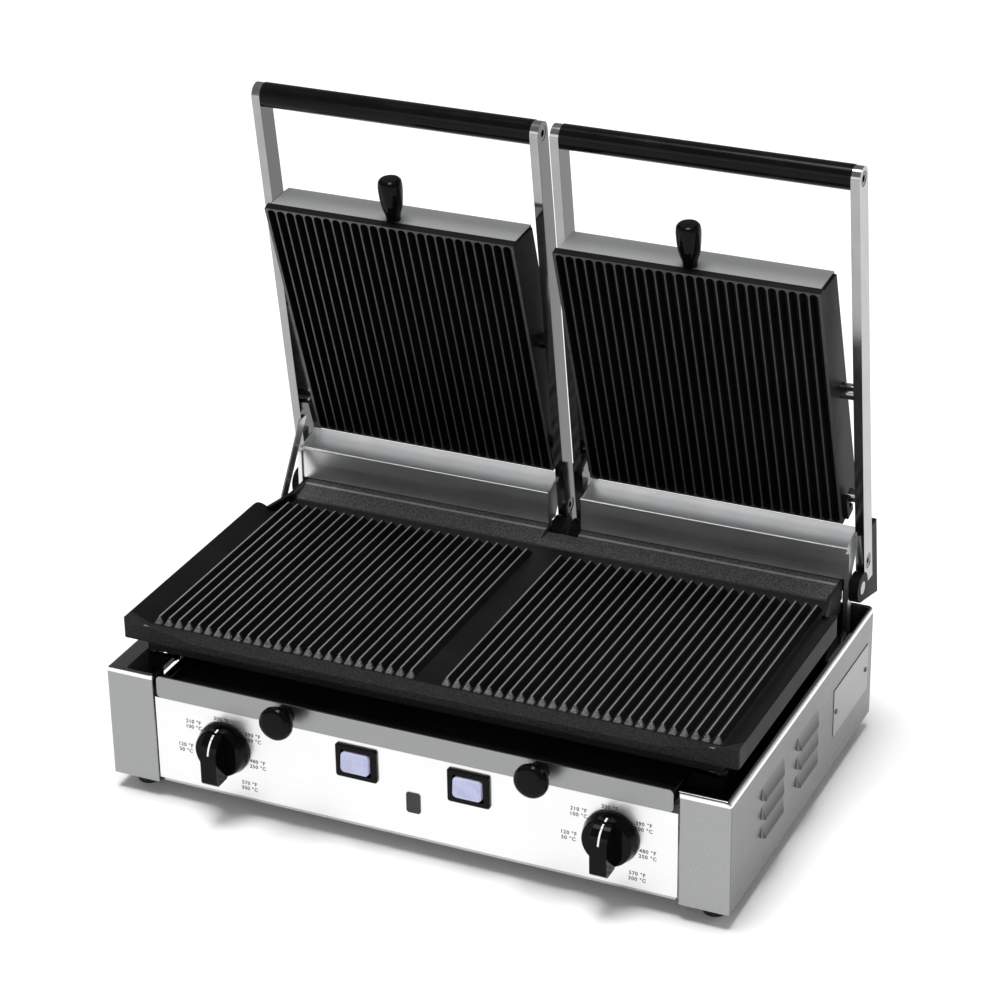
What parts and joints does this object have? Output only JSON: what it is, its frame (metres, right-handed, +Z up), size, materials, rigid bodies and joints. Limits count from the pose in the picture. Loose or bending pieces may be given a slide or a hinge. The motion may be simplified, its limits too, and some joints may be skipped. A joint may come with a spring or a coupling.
{
  "type": "double contact grill",
  "caption": "Countertop electric contact grill with a ribbed cast-iron griddle and hinged ribbed upper plates on handled arms, shown open.",
  "frame": {"origin": "on the bench under the middle of the grill, at the bottom centre of its bounding box", "axes": "+Z up, +X to the user's right, front with the knobs towards -Y"},
  "size_m": [0.577, 0.4134, 0.5488],
  "materials": {
    "stainless": "fine brushed",
    "bright_panel": "bright annealed, nearly mirror",
    "brushed_strip": "brushed",
    "polished_steel": "polished",
    "cast_iron": "black seasoned casting, fine grain",
    "black_lever": "satin black",
    "black_plastic": "gloss black",
    "switch_lens": "translucent pale lilac",
    "rubber": "matte black",
    "tray_enamel": "black enamel",
    "heater_steel": "dull oxidised",
    "spring_steel": "oiled",
    "insulation": "pressed mineral fibre",
    "moulded_insulator": "cream moulding"
  },
  "bodies": {
    "base": {"base_pan": "stainless", "side_panel_left": "stainless", "side_panel_right": "stainless", "front_panel": "bright_panel", "rear_panel": "stainless", "cable_gland": "black_plastic", "feet": "rubber", "badge": "black_plastic", "rating_plate": "brushed_strip", "rating_plate_rivets": "polished_steel", "terminal_block": "moulded_insulator", "thermostats": "moulded_insulator", "switch_housings": "black_plastic", "tray_runners": "stainless", "lower_griddle": "cast_iron", "lower_heaters": "heater_steel", "heater_clamps": "stainless", "griddle_studs": "polished_steel", "hinge_brackets": "stainless", "hinge_shafts": "polished_steel", "counterbalance_springs": "spring_steel", "side_stay": "stainless", "left_splash_guard": "stainless", "right_splash_guard": "stainless"},
    "drip_tray_assembly": {"drip_tray": "tray_enamel", "tray_front": "brushed_strip", "tray_knobs": "black_plastic"},
    "left_arm_frame": {"left_outer_arm": "polished_steel", "left_inner_arm": "polished_steel", "left_handle_grip": "black_plastic", "left_handle_rod": "polished_steel", "left_head_screws": "polished_steel", "left_hinge_levers": "black_lever", "left_pivot_pins": "polished_steel", "left_tilt_stops": "polished_steel"},
    "left_upper_grill": {"left_upper_plate": "cast_iron", "left_upper_cover": "stainless", "left_upper_heater": "heater_steel", "left_upper_insulation": "insulation", "left_cover_knob": "black_plastic"},
    "left_thermostat": {"left_thermostat_knob": "black_plastic", "left_thermostat_shaft": "polished_steel"},
    "left_switch": {"left_rocker": "switch_lens"},
    "right_arm_frame": {"right_outer_arm": "polished_steel", "right_inner_arm": "polished_steel", "right_handle_grip": "black_plastic", "right_handle_rod": "polished_steel", "right_head_screws": "polished_steel", "right_hinge_levers": "black_lever", "right_pivot_pins": "polished_steel", "right_tilt_stops": "polished_steel"},
    "right_upper_grill": {"right_upper_plate": "cast_iron", "right_upper_cover": "stainless", "right_upper_heater": "heater_steel", "right_upper_insulation": "insulation", "right_cover_knob": "black_plastic"},
    "right_thermostat": {"right_thermostat_knob": "black_plastic", "right_thermostat_shaft": "polished_steel"},
    "right_switch": {"right_rocker": "switch_lens"}
  },
  "joints": [
    {"name": "left_arm_hinge", "type": "hinge", "parent": "base", "child": "left_arm_frame", "pos_m": [-0.14, 0.16334, 0.143], "axis": [1, 0, 0], "range_deg": [0, 73.5]},
    {"name": "left_plate_pivot", "type": "hinge", "parent": "left_arm_frame", "child": "left_upper_grill", "pos_m": [-0.137, 0.15131, 0.33395], "axis": [1, 0, 0], "range_deg": [-14, 0]},
    {"name": "left_thermostat_turn", "type": "hinge", "parent": "base", "child": "left_thermostat", "pos_m": [-0.174, -0.18, 0.0637], "axis": [0, 1, 0], "range_deg": [-135, 135]},
    {"name": "left_switch_rock", "type": "hinge", "parent": "base", "child": "left_switch", "pos_m": [-0.0475, -0.17526, 0.079], "axis": [1, 0, 0], "range_deg": [0, 10]},
    {"name": "right_arm_hinge", "type": "hinge", "parent": "base", "child": "right_arm_frame", "pos_m": [0.14, 0.16334, 0.143], "axis": [1, 0, 0], "range_deg": [0, 73.5]},
    {"name": "right_plate_pivot", "type": "hinge", "parent": "right_arm_frame", "child": "right_upper_grill", "pos_m": [0.137, 0.15131, 0.33395], "axis": [1, 0, 0], "range_deg": [-14, 0]},
    {"name": "right_thermostat_turn", "type": "hinge", "parent": "base", "child": "right_thermostat", "pos_m": [0.182, -0.18, 0.0637], "axis": [0, 1, 0], "range_deg": [-135, 135]},
    {"name": "right_switch_rock", "type": "hinge", "parent": "base", "child": "right_switch", "pos_m": [0.0555, -0.17526, 0.079], "axis": [1, 0, 0], "range_deg": [0, 10]},
    {"name": "drip_tray_slide", "type": "slide", "parent": "base", "child": "drip_tray_assembly", "axis": [0, -1, 0], "range_m": [0, 0.1]}
  ]
}
